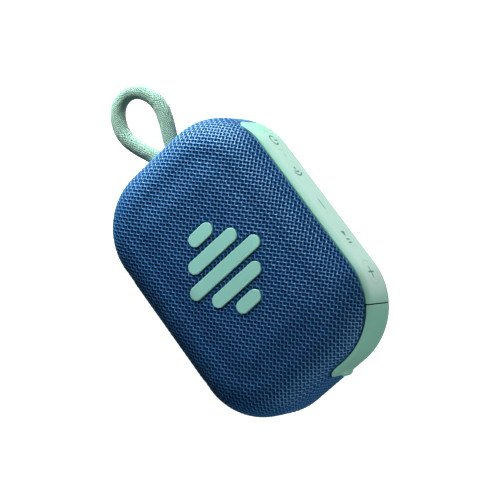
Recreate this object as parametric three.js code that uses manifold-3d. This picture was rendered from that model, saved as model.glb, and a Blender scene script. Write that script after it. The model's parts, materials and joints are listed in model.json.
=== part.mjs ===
// Portable wireless speaker: a rounded slab with a cloth sleeve, a rubber control band that wraps over the
// top and right side, a hinged port flap and a braided carry loop.
// Millimetres, +Z up, the front faces -Y. The origin is at the centre of the footprint, on the surface that
// the speaker stands on.
import * as THREE from "three";
import { mergeVertices } from "three/addons/utils/BufferGeometryUtils.js";
import Module from "manifold-3d";

const wasm = await Module();
wasm.setup();

// ---------------------------------------------------------------- driving dimensions
const WIDTH = 134; // overall, across the front
const HEIGHT = 94; // overall, without the foot rails
const CORNER = 32; // corner radius of the front outline
const EDGE = 16.2; // how far the rounded edge reaches in from the outline
const SIDE_FLAT = 7.6; // half width of the flat part of the side wall
const EDGE_DEPTH = 22.7; // half depth where the rounded edge ends
const DOME = 1.4; // the front face swells by this much more
const DOME_END = 30; // inset from the outline where the swelling has levelled out
const RAIL = 0.6; // how far the foot rails stand out below the body
const GAP = 0.3; // clearance between touching pieces

const CLOTH = 0.9; // cloth thickness
const SHELL = 2.2; // housing wall
const SHELL_OUT = CLOTH + GAP; // the housing's outer face, measured in from the cloth's outer face
const SHELL_IN = SHELL_OUT + SHELL;
const BAND = 2.2; // control band thickness
const BAND_HALF = 12.8; // half width of the band
const CHANNEL = BAND + GAP; // depth of the channel that the band lies in
const FLANGE = 5; // inner face of the flange where the two housings meet
const FLANGE_HALF = 3;

const BAND_START = -51.2; // along the outline from top centre, positive to the right
const SEAM = 55.2; // seam between band and port flap
const FLAP_END = 95.7;
const START_ROUND = 4.5; // plan radius of the band's left corners
const END_ROUND = 6; // plan radius of the flap's lower corners
const LIP_Y = 5.6; // middle of the flap's pull lip
const LIP_RAISE = 0.9; // how far the pull lip stands out
const NOTCH_Y = 0.6; // middle of the small notch beside the lip

const BUTTONS = [
  ["power", -36.5],
  ["wireless", -17.6],
  ["minus", 1.2],
  ["play", 20.6],
  ["plus", 40.2],
];
const CAP_LENGTH = 12;
const CAP_WIDTH = 8.4;
const CAP_THICK = 1.6;
const STEM = 1.6; // stem radius
const BOARD_TOP = 38.6; // top face of the button board, above the body's centre
const BOARD_THICK = 1.2;
const SWITCH_TOP = 41.1;
const TRAVEL_GAP = 0.8; // free space between a stem and its switch
const LED_AT = -27.6;

const PORT_Z = 17.5; // centre of the charging port, above the body's centre
const PORT_FLOOR = 57.5; // x of the port well's floor
const DRIVER_X = -29;
const RADIATOR_X = 29;
const DRIVER_R = 24;
const MOUNT_Y = -17.5; // face of the rings that carry driver and radiator
const SCREW_X = 44;
const SCREW_Z = 23.5;

const CORNER_STEPS = 4;
const EDGE_STEPS = 3;
const ROUND_STEPS = 12;
const FINE = 3; // steps in a small rounded corner

// ---------------------------------------------------------------- materials
const finish = (color, roughness, metalness = 0) =>
  new THREE.MeshStandardMaterial({ color, roughness, metalness });
const materials = {
  cloth: finish(0x2f5f9c, 0.9),
  trim: finish(0xa9dcc6, 0.55),
  braid: finish(0x9fd4bd, 0.85),
  badge: finish(0x93d3bb, 0.5),
  housing: finish(0x1d3f6e, 0.6),
  rubber: finish(0x1b2c44, 0.8),
  plastic: finish(0x1e1f22, 0.6),
  steel: finish(0xb8bcc0, 0.35, 1),
  iron: finish(0x3c3c40, 0.6, 0.6),
  brass: finish(0xb87333, 0.4, 1),
  paper: finish(0x26262a, 0.8),
  board: finish(0x14553a, 0.5),
  battery: finish(0x2d6fb5, 0.4),
  lens: finish(0xcfe0ff, 0.1),
};

// ---------------------------------------------------------------- solids and meshes
// A closed geometry as a manifold-3d solid.
function solid(geometry) {
  const bare = geometry.clone();
  bare.deleteAttribute("normal");
  bare.deleteAttribute("uv");
  const merged = mergeVertices(bare, 1e-4);
  const made = new wasm.Manifold(
    new wasm.Mesh({
      numProp: 3,
      vertProperties: new Float32Array(merged.attributes.position.array),
      triVerts: new Uint32Array(merged.index.array),
    }),
  );
  if (made.volume() < 0) throw new Error("a solid is inside out");
  return made;
}

function geometryOf(made) {
  const mesh = made.getMesh();
  const position = new Float32Array(mesh.numVert * 3);
  for (let i = 0; i < mesh.numVert; i++)
    for (let k = 0; k < 3; k++)
      position[i * 3 + k] = mesh.vertProperties[i * mesh.numProp + k];
  const geometry = new THREE.BufferGeometry();
  geometry.setAttribute("position", new THREE.BufferAttribute(position, 3));
  geometry.setIndex(new THREE.BufferAttribute(mesh.triVerts, 1));
  geometry.computeVertexNormals();
  return geometry;
}

const cut = (from, ...tools) => tools.reduce((a, b) => a.subtract(b), from);
const join = (...parts) => parts.reduce((a, b) => a.add(b));

const speaker = new THREE.Group();
speaker.name = "portable_speaker";
const assembly = new THREE.Group(); // its origin is the centre of the body
assembly.position.z = HEIGHT / 2 + RAIL;
speaker.add(assembly);

function piece(name, shape, material) {
  const geometry = shape.isBufferGeometry ? shape : geometryOf(shape);
  const mesh = new THREE.Mesh(geometry, material);
  mesh.name = name;
  assembly.add(mesh);
  return mesh;
}

// ---------------------------------------------------------------- shapes
function box(x0, x1, y0, y1, z0, z1) {
  const geometry = new THREE.BoxGeometry(x1 - x0, y1 - y0, z1 - z0);
  geometry.translate((x0 + x1) / 2, (y0 + y1) / 2, (z0 + z1) / 2);
  return solid(geometry);
}

function roundedRect(width, height, radius) {
  const x = width / 2 - radius;
  const y = height / 2 - radius;
  const shape = new THREE.Shape();
  shape.absarc(x, y, radius, 0, Math.PI / 2);
  shape.absarc(-x, y, radius, Math.PI / 2, Math.PI);
  shape.absarc(-x, -y, radius, Math.PI, Math.PI * 1.5);
  shape.absarc(x, -y, radius, Math.PI * 1.5, Math.PI * 2);
  return shape;
}

function extruded(shape, depth, curveSegments) {
  return new THREE.ExtrudeGeometry(shape, { depth, bevelEnabled: false, curveSegments });
}

// A shape drawn in X and Z, from y0 to y1.
function alongY(shape, y0, y1, x = 0, z = 0, curveSegments = FINE) {
  const geometry = extruded(shape, y1 - y0, curveSegments);
  geometry.rotateX(Math.PI / 2);
  return solid(geometry.translate(x, y1, z));
}

// A shape drawn in Y and Z, from x0 to x1.
function alongX(shape, x0, x1, z = 0, curveSegments = FINE) {
  const geometry = extruded(shape, x1 - x0, curveSegments);
  const turn = new THREE.Matrix4().makeBasis(
    new THREE.Vector3(0, 1, 0),
    new THREE.Vector3(0, 0, 1),
    new THREE.Vector3(1, 0, 0),
  );
  return solid(geometry.applyMatrix4(turn).translate(x0, 0, z));
}

// A round bar or hole along Y.
function rod(radius, y0, y1, x, z, steps = 8) {
  const geometry = new THREE.CylinderGeometry(radius, radius, y1 - y0, steps);
  return solid(geometry.translate(x, (y0 + y1) / 2, z));
}

// A profile of [radius, y] points turned about a line along Y through x.
function turned(profile, x, steps = ROUND_STEPS) {
  const points = profile.map(([r, y]) => new THREE.Vector2(r, y));
  if (profile[0][0] > 0) points.push(points[0].clone());
  const area = THREE.ShapeUtils.area(points);
  if (area < 0) points.reverse();
  return solid(new THREE.LatheGeometry(points, steps).translate(x, 0, 0));
}

// A plain ring between two radii and two depths.
const ring = (r0, r1, y0, y1, x) => turned([[r0, y0], [r1, y0], [r1, y1], [r0, y1]], x);

// A round cord along a list of [x, y, z] points.
function cord(points, radius, sides, steps) {
  const path = new THREE.CatmullRomCurve3(points.map((p) => new THREE.Vector3(...p)));
  const section = new THREE.Shape();
  for (let i = 0; i < sides; i++) {
    const angle = (i / sides) * 2 * Math.PI;
    const [x, y] = [radius * Math.cos(angle), radius * Math.sin(angle)];
    if (i) section.lineTo(x, y);
    else section.moveTo(x, y);
  }
  section.closePath();
  return solid(new THREE.ExtrudeGeometry(section, { steps, extrudePath: path }));
}

// ---------------------------------------------------------------- the body's outer form
function outlineRing(inset, y) {
  const radius = CORNER - inset;
  const cx = WIDTH / 2 - CORNER;
  const cz = HEIGHT / 2 - CORNER;
  const ring = [];
  for (let corner = 0; corner < 4; corner++)
    for (let i = 0; i <= CORNER_STEPS; i++) {
      const angle = ((corner + i / CORNER_STEPS) * Math.PI) / 2;
      const [sx, sz] = [corner === 1 || corner === 2 ? -1 : 1, corner < 2 ? 1 : -1];
      ring.push([sx * cx + radius * Math.cos(angle), y, sz * cz + radius * Math.sin(angle)]);
    }
  return ring;
}

// The form moved in by an offset, as one closed solid.
function form(offset) {
  const smooth = (u) => u * u * (3 - 2 * u);
  const edge = [];
  for (let i = 0; i <= EDGE_STEPS; i++) {
    const angle = ((i / EDGE_STEPS) * Math.PI) / 2;
    edge.push([
      offset + (EDGE - offset) * (1 - Math.cos(angle)),
      SIDE_FLAT + (EDGE_DEPTH - offset - SIDE_FLAT) * Math.sin(angle),
    ]);
  }
  const dome = [1, 0.5].map((u) => [
    EDGE + (DOME_END - EDGE) * u,
    EDGE_DEPTH - offset + DOME * smooth(u),
  ]);
  const rings = [
    ...dome.map(([inset, y]) => outlineRing(inset, -y)),
    ...[...edge].reverse().map(([inset, y]) => outlineRing(inset, -y)),
    ...edge.map(([inset, y]) => outlineRing(inset, y)),
  ];
  const count = rings[0].length;
  const vertices = rings.flat(2);
  const index = [];
  for (let r = 0; r + 1 < rings.length; r++)
    for (let i = 0; i < count; i++) {
      const [a, b] = [r * count + i, r * count + ((i + 1) % count)];
      index.push(a, a + count, b, b, a + count, b + count);
    }
  const first = rings.length * count;
  const last = (rings.length - 1) * count;
  vertices.push(0, rings[0][0][1], 0, 0, rings.at(-1)[0][1], 0);
  for (let i = 0; i < count; i++) {
    const next = (i + 1) % count;
    index.push(first, i, next, first + 1, last + next, last + i);
  }
  const geometry = new THREE.BufferGeometry();
  geometry.setAttribute("position", new THREE.Float32BufferAttribute(vertices, 3));
  geometry.setIndex(index);
  return solid(geometry);
}

// The layer of the form between two offsets.
const layer = (outer, inner) => form(outer).subtract(form(inner));

// A place on the outline, s millimetres from top centre and positive to the right: the point, the
// direction of growing s and the outward normal.
function outlineAt(s) {
  const straight = WIDTH / 2 - CORNER;
  const arc = (CORNER * Math.PI) / 2;
  const side = Math.sign(s) || 1;
  const along = Math.abs(s);
  const angle = THREE.MathUtils.clamp((along - straight) / CORNER, 0, Math.PI / 2);
  const x = Math.min(along, straight) + CORNER * Math.sin(angle);
  const past = Math.max(along - straight - arc, 0);
  const z = HEIGHT / 2 - CORNER + CORNER * Math.cos(angle) - past;
  return {
    point: new THREE.Vector3(side * x, 0, z),
    tangent: new THREE.Vector3(Math.cos(angle), 0, -side * Math.sin(angle)),
    normal: new THREE.Vector3(side * Math.sin(angle), 0, Math.cos(angle)),
  };
}

// A shape drawn along the outline and along Y, at s, filling the depths from outer to inner.
function onOutline(shape, s, outer, inner, curveSegments = FINE) {
  const { point, tangent, normal } = outlineAt(s);
  const turn = new THREE.Matrix4().makeBasis(tangent, new THREE.Vector3(0, 1, 0), normal);
  turn.setPosition(point.clone().addScaledVector(normal, -inner));
  return solid(extruded(shape, inner - outer, curveSegments).applyMatrix4(turn));
}

// What rounds off one corner of a strip that lies on the outline.
function cornerCutter(s, towards, side, radius, halfWidth) {
  const shape = new THREE.Shape();
  shape.moveTo(1, 1);
  shape.lineTo(-radius, 1);
  shape.lineTo(-radius, 0);
  shape.absarc(-radius, -radius, radius, Math.PI / 2, 0, true);
  shape.lineTo(1, -radius);
  shape.closePath();
  const geometry = extruded(shape, 14, 4);
  const { point, tangent, normal } = outlineAt(s);
  const turn = new THREE.Matrix4().makeBasis(
    tangent.clone().multiplyScalar(towards),
    new THREE.Vector3(0, side, 0),
    normal,
  );
  turn.setPosition(
    point.clone().addScaledVector(normal, -10).add(new THREE.Vector3(0, side * halfWidth, 0)),
  );
  geometry.applyMatrix4(turn);
  if (turn.determinant() < 0) turnInsideOut(geometry);
  return solid(geometry);
}

function turnInsideOut(geometry) {
  const position = geometry.attributes.position.array;
  for (let i = 0; i < position.length; i += 9)
    for (let k = 0; k < 3; k++)
      [position[i + k], position[i + 3 + k]] = [position[i + 3 + k], position[i + k]];
}

// The room of a strip on the outline from s0 to s1, with rounded corners where a radius is given.
function strip(s0, s1, halfWidth, startRadius, endRadius) {
  const steps = 40;
  const reach = (offset) =>
    Array.from({ length: steps + 1 }, (_, i) => {
      const { point, normal } = outlineAt(s0 + ((s1 - s0) * i) / steps);
      return point.clone().addScaledVector(normal, -offset);
    });
  const shape = new THREE.Shape();
  [...reach(-3), ...reach(9).reverse()].forEach(({ x, z }, i) =>
    i ? shape.lineTo(x, z) : shape.moveTo(x, z),
  );
  shape.closePath();
  let room = alongY(shape, -halfWidth, halfWidth);
  for (const side of [-1, 1]) {
    if (startRadius) room = cut(room, cornerCutter(s0, -1, side, startRadius, halfWidth));
    if (endRadius) room = cut(room, cornerCutter(s1, 1, side, endRadius, halfWidth));
  }
  return room;
}

const bandOpening = strip(
  BAND_START - GAP,
  FLAP_END + GAP,
  BAND_HALF + GAP,
  START_ROUND + GAP,
  END_ROUND + GAP,
);

const PLATE = { width: 103, height: 60, radius: 14 };
const FOOT = { width: 68, depth: 22, radius: 6 };
const BEZEL = { width: 12, height: 20, radius: 5.9 };
const BAR_WIDTH = 6.4;
const BAR_PITCH = 9.6;
const badgeBars = [14, 30, 44, 30, 14].map((height, i) => [(i - 2) * BAR_PITCH, height]);
const BADGE_PLATE = 46;
const BADGE_FRONT = -EDGE_DEPTH - DOME - GAP;
const BADGE_BACK = -21.9;

const barRoom = (grow, y0, y1) =>
  badgeBars.map(([x, height]) => {
    const radius = BAR_WIDTH / 2 + grow;
    return alongY(roundedRect(2 * radius, height + 2 * grow, radius - 0.01), y0, y1, x);
  });
const plateRoom = (grow, y0, y1) => {
  const { width, height, radius } = PLATE;
  return alongY(roundedRect(width + 2 * grow, height + 2 * grow, radius + grow), y0, y1);
};
const footRoom = (grow, outer, inner) => {
  const { width, depth, radius } = FOOT;
  const shape = roundedRect(width + 2 * grow, depth + 2 * grow, radius + grow);
  const geometry = extruded(shape, inner - outer, 4);
  return solid(geometry.translate(0, 0, -HEIGHT / 2 + outer));
};
const bezelRoom = (grow, x0, x1) => {
  const { width, height, radius } = BEZEL;
  return alongX(roundedRect(width + 2 * grow, height + 2 * grow, radius + grow), x0, x1);
};

// ---------------------------------------------------------------- cloth sleeve
function cloth() {
  const sleeve = cut(
    layer(0, CLOTH),
    bandOpening,
    plateRoom(GAP, 10, 30),
    footRoom(GAP, -4, 6),
    bezelRoom(GAP, -70, -60),
    ...barRoom(GAP, -30, -15),
  );
  piece("speaker_cloth", sleeve, materials.cloth);
}

// ---------------------------------------------------------------- housings
const WELL = { outerY: 6, innerY: 4.5, outerZ: 8.5, innerZ: 7.25, back: 56 };

// Both housings as one hollow body, with every recess and opening in its wall.
function housingWall() {
  const flange = box(-80, 80, -FLANGE_HALF, FLANGE_HALF, -60, 60).subtract(form(FLANGE));
  const underBand = strip(BAND_START - 4, FLAP_END + 4, BAND_HALF + 3).subtract(form(CHANNEL + SHELL));
  const overFoot = footRoom(3, -4, CHANNEL + SHELL);
  const cavity = cut(form(SHELL_IN), flange, underBand, overFoot);
  const halfWell = WELL.outerY + GAP;
  return cut(
    form(SHELL_OUT),
    cavity,
    bandOpening.subtract(form(CHANNEL)),
    footRoom(GAP, -4, CHANNEL),
    bezelRoom(GAP, -70, -58),
    box(50, 75, -halfWell, halfWell, PORT_Z - WELL.outerZ - GAP, PORT_Z + WELL.outerZ + GAP),
    ...BUTTONS.map(([, s]) => onOutline(circle(STEM + 0.5), s, -3, 9)),
    onOutline(circle(1.3), LED_AT, -3, 9),
  );
}

function circle(radius) {
  return new THREE.Shape().absarc(0, 0, radius, 0, Math.PI * 2);
}

// The groove that the housing seal lies in. The rubber band seals the rest of the joint line.
function sealRoom(grow) {
  const half = 0.6 + grow;
  const top = PORT_Z - WELL.outerZ - 1;
  const lower = box(-80, 80, -half, half, -60, top).subtract(box(-80, 0, -5, 5, -11.3, top + 1));
  return lower.intersect(layer(3.1 - grow, 4.1 + grow));
}

function housings() {
  const wall = housingWall();
  const inside = form(SHELL_OUT + 0.1); // keeps bosses and rings from breaking through the wall
  const groove = sealRoom(0.15);
  const corners = [-1, 1].flatMap((sx) => [-1, 1].map((sz) => [sx * SCREW_X, sz * SCREW_Z]));

  const rim = DRIVER_R + 0.4;
  const ringMounts = [DRIVER_X, RADIATOR_X].map((x) => ring(21.2, rim, -23, MOUNT_Y, x));
  const frontBosses = corners.map(([x, z]) => rod(3.2, -21, -GAP / 2, x, z));
  const screwHoles = corners.map(([x, z]) => rod(1.55, -7, 1, x, z));
  const front = cut(
    join(
      wall.intersect(box(-80, 80, -40, -GAP / 2, -60, 60)),
      ...[...ringMounts, ...frontBosses].map((part) => part.intersect(inside)),
    ),
    groove,
    alongY(roundedRect(BADGE_PLATE + 1, BADGE_PLATE + 1, 4.5), -30, BADGE_BACK + GAP),
    ...grilleHoles(),
    ...screwHoles,
  );
  piece("front_housing", front, materials.housing);

  const rearBosses = corners.map(([x, z]) => rod(4, GAP / 2, 21, x, z));
  const posts = BOARD_POSTS.map(([x, z]) => rod(2.6, 3.5, 21, x, z));
  const rear = cut(
    join(
      wall.intersect(box(-80, 80, GAP / 2, 40, -60, 60)),
      ...[...rearBosses, ...posts].map((part) => part.intersect(inside)),
    ),
    groove,
    ...corners.flatMap(([x, z]) => [rod(1.6, -1, 30, x, z), rod(2.8, 5.7, 30, x, z)]),
    ...BOARD_POSTS.map(([x, z]) => rod(1.3, 3, 10, x, z)),
  );
  piece("rear_housing", rear, materials.housing);

  corners.forEach(([x, z], i) => {
    const screw = turned([[0, -6], [1.25, -6], [1.25, 6], [2.5, 6], [2.5, 8], [0, 8]], 0, 8);
    piece(`housing_screw_${i + 1}`, screw.translate([x, 0, z]), materials.steel);
  });
}

// Sound holes in front of the driver and the passive radiator, each a ring of six.
function grilleHoles() {
  const holes = [];
  for (const x of [DRIVER_X, RADIATOR_X])
    for (let i = 0; i < 6; i++) {
      const angle = ((i + 0.5) * Math.PI) / 3;
      const [dx, dz] = [11 * Math.cos(angle), 13 * Math.sin(angle)];
      if (Math.abs(x + dx) > 24) holes.push(rod(4.2, -30, -15, x + dx, dz));
    }
  return holes;
}

function seal() {
  piece("housing_seal", sealRoom(0), materials.rubber);
}

// ---------------------------------------------------------------- control band and buttons
function stadium(length, width) {
  return roundedRect(length, width, Math.min(length, width) / 2 - 0.01);
}

function controlBand() {
  const room = strip(BAND_START, SEAM - GAP / 2, BAND_HALF, START_ROUND, 0);
  const windows = BUTTONS.map(([, s]) =>
    onOutline(stadium(CAP_LENGTH + 2 * GAP, CAP_WIDTH + 2 * GAP), s, -3, 5),
  );
  const band = cut(layer(0, BAND).intersect(room), ...windows, onOutline(circle(1.2), LED_AT, -3, 5));
  piece("control_band", band, materials.trim);
}

function buttons() {
  for (const [name, s] of BUTTONS) {
    const { point, normal } = outlineAt(s);
    const reach = (point.z - SWITCH_TOP - TRAVEL_GAP) / normal.z;
    const cap = layer(0, CAP_THICK).intersect(onOutline(stadium(CAP_LENGTH, CAP_WIDTH), s, -3, 5));
    const stem = onOutline(circle(STEM), s, CAP_THICK - 0.5, reach);
    piece(`button_${name}`, join(cap, stem), materials.trim);
  }
}

function buttonBoard() {
  const half = 45.5;
  const board = box(-half, half, -5.5, 5.5, BOARD_TOP - BOARD_THICK, BOARD_TOP);
  piece("button_board", board, materials.board);
  for (const [name, s] of BUTTONS) {
    const { point, normal } = outlineAt(s);
    const x = point.x - (normal.x / normal.z) * (point.z - SWITCH_TOP);
    const body = box(x - 2.2, x + 2.2, -2.2, 2.2, BOARD_TOP + GAP, SWITCH_TOP - 0.6);
    const dome = solid(
      new THREE.CylinderGeometry(1.2, 1.2, 1, 8).rotateX(Math.PI / 2).translate(x, 0, SWITCH_TOP - 0.5),
    );
    piece(`tact_switch_${name}`, join(body, dome), materials.plastic);
  }
  const { point } = outlineAt(LED_AT);
  const chip = box(point.x - 0.8, point.x + 0.8, -0.5, 0.5, BOARD_TOP + GAP, BOARD_TOP + 0.9);
  piece("led_chip", chip, materials.lens);
  const pipe = join(onOutline(circle(0.9), LED_AT, 0, 7), onOutline(circle(1.9), LED_AT, 5.2, 6));
  piece("led_light_pipe", pipe, materials.lens);
}

// ---------------------------------------------------------------- charging port and its flap
function portFlap() {
  const thick = 1.9;
  const room = strip(SEAM + GAP / 2, FLAP_END, BAND_HALF, 0, END_ROUND);
  const skin = layer(0, thick).intersect(room);
  const boss = layer(thick - 0.4, 3.7).intersect(
    box(55, 70, -3.4, 3.4, PORT_Z - 5, PORT_Z + 5),
  );
  const lip = onOutline(stadium(2.8, 8.2), FLAP_END - 1.9, -LIP_RAISE, 1).translate([0, LIP_Y, 0]);
  const notch = onOutline(stadium(4, 1.6), FLAP_END + 1.3, -2, 4).translate([0, NOTCH_Y, 0]);
  piece("port_flap", cut(join(skin, boss, lip), notch), materials.trim);
}

function portWell() {
  const { outerY, innerY, outerZ, innerZ, back } = WELL;
  const block = box(back, 70, -outerY, outerY, PORT_Z - outerZ, PORT_Z + outerZ);
  const hollow = box(PORT_FLOOR, 75, -innerY, innerY, PORT_Z - innerZ, PORT_Z + innerZ);
  const window = alongX(roundedRect(3.9, 9.6, 1.9), 40, 60, PORT_Z);
  const well = cut(block.intersect(form(CHANNEL + 0.1)), hollow, window);
  piece("port_well", well, materials.plastic);

  const mouth = PORT_FLOOR - 0.1;
  const length = 7.3;
  const shell = alongX(roundedRect(3.26, 8.94, 1.6), mouth - length, mouth, PORT_Z);
  const inside = alongX(roundedRect(2.56, 8.34, 1.25), mouth - length + 0.6, mouth + 1, PORT_Z);
  piece("usb_shell", cut(shell, inside), materials.steel);
  const tongue = box(mouth - length + 0.9, mouth - 1, -0.35, 0.35, PORT_Z - 3.3, PORT_Z + 3.3);
  piece("usb_tongue", tongue, materials.plastic);
}

// ---------------------------------------------------------------- carry loop
const LOOP_D = 7.5;
// Half of the loop's route, from its end in the body to the tip; the other half mirrors it.
const LOOP_HALF = [
  [-58.2, 0, 4.1],
  [-63.5, 0, 4.1],
  [-67.5, 0, 4.5],
  [-72, 0, 6.2],
  [-79.5, 0, 9.6],
  [-86, 0, 11.6],
  [-92.5, 0, 11.4],
  [-98.6, 0, 8.6],
  [-102.2, 0, 4.4],
];
const LOOP_TIP = [-103.2, 0, 0];

function carryLoop() {
  const route = [
    ...LOOP_HALF,
    LOOP_TIP,
    ...[...LOOP_HALF].reverse().map(([x, y, z]) => [x, y, -z]),
  ];
  piece("carry_loop", cord(route, LOOP_D / 2, 8, 34), materials.braid);

  const bezel = cut(
    bezelRoom(0, -WIDTH / 2 - RAIL, -62.2),
    alongX(roundedRect(LOOP_D + 1, 17.4, 4.1), -75, -55),
  );
  piece("loop_bezel", bezel, materials.housing);
  piece("loop_anchor", box(-57.8, -53.6, -5, 5, -9, 9), materials.plastic);
}

// ---------------------------------------------------------------- badge, rear plate and feet
function badge() {
  const plate = alongY(roundedRect(BADGE_PLATE, BADGE_PLATE, 4), BADGE_BACK - 0.5, BADGE_BACK);
  piece("badge", join(plate, ...barRoom(0, BADGE_FRONT, BADGE_BACK - 0.2)), materials.badge);
}

function rearPlate() {
  const feet = [-1, 1].flatMap((sx) => [-1, 1].map((sz) => [sx * 38, sz * 18]));
  const pockets = feet.map(([x, z]) => rod(4.9, 22.5, 26, x, z, 12));
  const front = EDGE_DEPTH - CLOTH;
  piece("rear_plate", cut(plateRoom(0, front, 23.4), ...pockets), materials.housing);
  feet.forEach(([x, z], i) => {
    const pad = turned([[0, 22.8], [4.5, 22.8], [4.5, 24.4], [0, 24.4]], 0, 12);
    piece(`rear_pad_${i + 1}`, pad.translate([x, 0, z]), materials.rubber);
  });
}

function baseFoot() {
  const sole = footRoom(0, 0, BAND).intersect(form(0));
  const rails = [-1, 1].map((side) => {
    const shape = roundedRect(60, 4.5, 2.2);
    const geometry = extruded(shape, 1.6, 4);
    return solid(geometry.translate(0, side * 8, -HEIGHT / 2 - RAIL));
  });
  piece("base_foot", join(sole, ...rails), materials.rubber);
}

// ---------------------------------------------------------------- driver
function driver() {
  const x = DRIVER_X;
  const gasketBack = MOUNT_Y + GAP + 0.8;
  const flange = gasketBack + GAP;
  piece("driver_gasket", ring(21.4, DRIVER_R, MOUNT_Y + GAP, gasketBack, x), materials.rubber);
  const basket = turned(
    [
      [DRIVER_R, flange],
      [DRIVER_R, -14.6],
      [21.8, -14.6],
      [13.8, -4.4],
      [13.8, -3],
      [7.8, -3],
      [7.8, -4.2],
      [12.4, -4.2],
      [20.4, -15],
      [20.4, flange],
    ],
    x,
  );
  const windows = [0, 1, 2].map((i) => {
    const slot = new THREE.BoxGeometry(60, 6.4, 9).translate(0, -9.6, 0);
    return solid(slot.rotateY((i * Math.PI) / 3).translate(x, 0, 0));
  });
  piece("driver_basket", cut(basket, ...windows), materials.plastic);
  piece(
    "driver_surround",
    turned(
      [[16.9, -16.2], [17.6, -17.3], [18.6, -17.7], [19.6, -17.3], [20.1, -16.2], [19.5, -16.2],
        [18.6, -17], [17.5, -16.2]],
      x,
    ),
    materials.rubber,
  );
  piece("driver_spider", ring(7.6, 15.2, -9, -8.5, x), materials.paper);
  piece(
    "driver_cone",
    turned(
      [[16.5, -16.2], [16.5, -15.6], [6.4, -10.4], [6.4, 1.2], [6, 1.2], [6, -11.3], [15.8, -16.2]],
      x,
    ),
    materials.paper,
  );
  piece(
    "driver_dust_cap",
    turned([[0, -14.6], [3.4, -14.1], [6.2, -12.9], [6.8, -12.2], [6.1, -11.8], [0, -11.8]], x),
    materials.paper,
  );
  piece("voice_coil", ring(6.7, 7.2, -4.4, 0.8, x), materials.brass);
  piece("driver_top_plate", ring(7.6, 12.8, -2.7, -0.9, x), materials.steel);
  piece("driver_magnet", ring(8.2, 14, -0.6, 6.2, x), materials.iron);
  piece(
    "driver_yoke",
    turned([[0, -2.4], [5.6, -2.4], [5.6, 6.5], [13.2, 6.5], [13.2, 8.3], [0, 8.3]], x),
    materials.steel,
  );
}

function passiveRadiator() {
  const x = RADIATOR_X;
  const gasketBack = MOUNT_Y + GAP + 0.8;
  const flange = gasketBack + GAP;
  piece("radiator_gasket", ring(21.4, DRIVER_R, MOUNT_Y + GAP, gasketBack, x), materials.rubber);
  piece("radiator_frame", ring(20.4, DRIVER_R, flange, -14.6, x), materials.plastic);
  piece(
    "radiator_surround",
    turned(
      [[16.2, -16.2], [17.2, -17.5], [18.2, -17.9], [19.2, -17.5], [20.1, -16.2], [19.4, -16.2],
        [18.2, -17.2], [17, -16.2]],
      x,
    ),
    materials.rubber,
  );
  piece(
    "radiator_plate",
    turned([[0, -16.4], [15.8, -16.4], [15.8, -15.2], [9, -15.2], [9, -11.7], [0, -11.7]], x),
    materials.steel,
  );
}

// ---------------------------------------------------------------- battery and electronics
const CELL = { radius: 9.2, length: 65, y: 8.6, z: -27 };
const BOARD_POSTS = [
  [9, 18],
  [36, -8],
];

function battery() {
  const { radius, length, y, z } = CELL;
  const cell = new THREE.CylinderGeometry(radius, radius, length, 16).rotateZ(Math.PI / 2);
  piece("battery_cell", solid(cell.translate(0, y, z)), materials.battery);
  const trough = new THREE.Shape();
  trough.absarc(0, 0, radius + 1.2, -Math.PI / 2, Math.PI / 2);
  trough.absarc(0, 0, radius + GAP, Math.PI / 2, -Math.PI / 2, true);
  trough.closePath();
  const holder = alongX(trough, -30, 30, 0, 8).translate([0, y, z]);
  piece("battery_holder", holder, materials.plastic);
}

function mainBoard() {
  const [front, back] = [2, 3.2];
  const board = cut(
    box(4, 56, front, back, -12, 23),
    rod(4.4, 0, 5, SCREW_X, SCREW_Z),
    ...BOARD_POSTS.map(([x, z]) => rod(1.3, 0, 5, x, z)),
  );
  piece("main_board", board, materials.board);
  piece("soc_chip", box(16, 24, 0.6, front - GAP, 0, 8), materials.plastic);
  BOARD_POSTS.forEach(([x, z], i) => {
    const screw = turned([[0, 0.4], [2.1, 0.4], [2.1, 1.7], [1, 1.7], [1, 8], [0, 8]], 0, 8);
    piece(`board_screw_${i + 1}`, screw.translate([x, 0, z]), materials.steel);
  });
}

// ---------------------------------------------------------------- assembly
cloth();
housings();
seal();
controlBand();
buttons();
buttonBoard();
portFlap();
portWell();
carryLoop();
badge();
rearPlate();
baseFoot();
driver();
passiveRadiator();
battery();
mainBoard();

export default speaker;
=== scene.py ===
"""Looks of the portable wireless speaker.

Every visible piece is a smooth panel: a flat drawing, given as a signed distance, that is cut out of a fine
grid, wrapped onto the body and closed with rounded edges. Drawings are in millimetres, Blender in metres.
"""
import json
import math

import bpy
import numpy as np
from mathutils import Matrix, Vector


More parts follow.
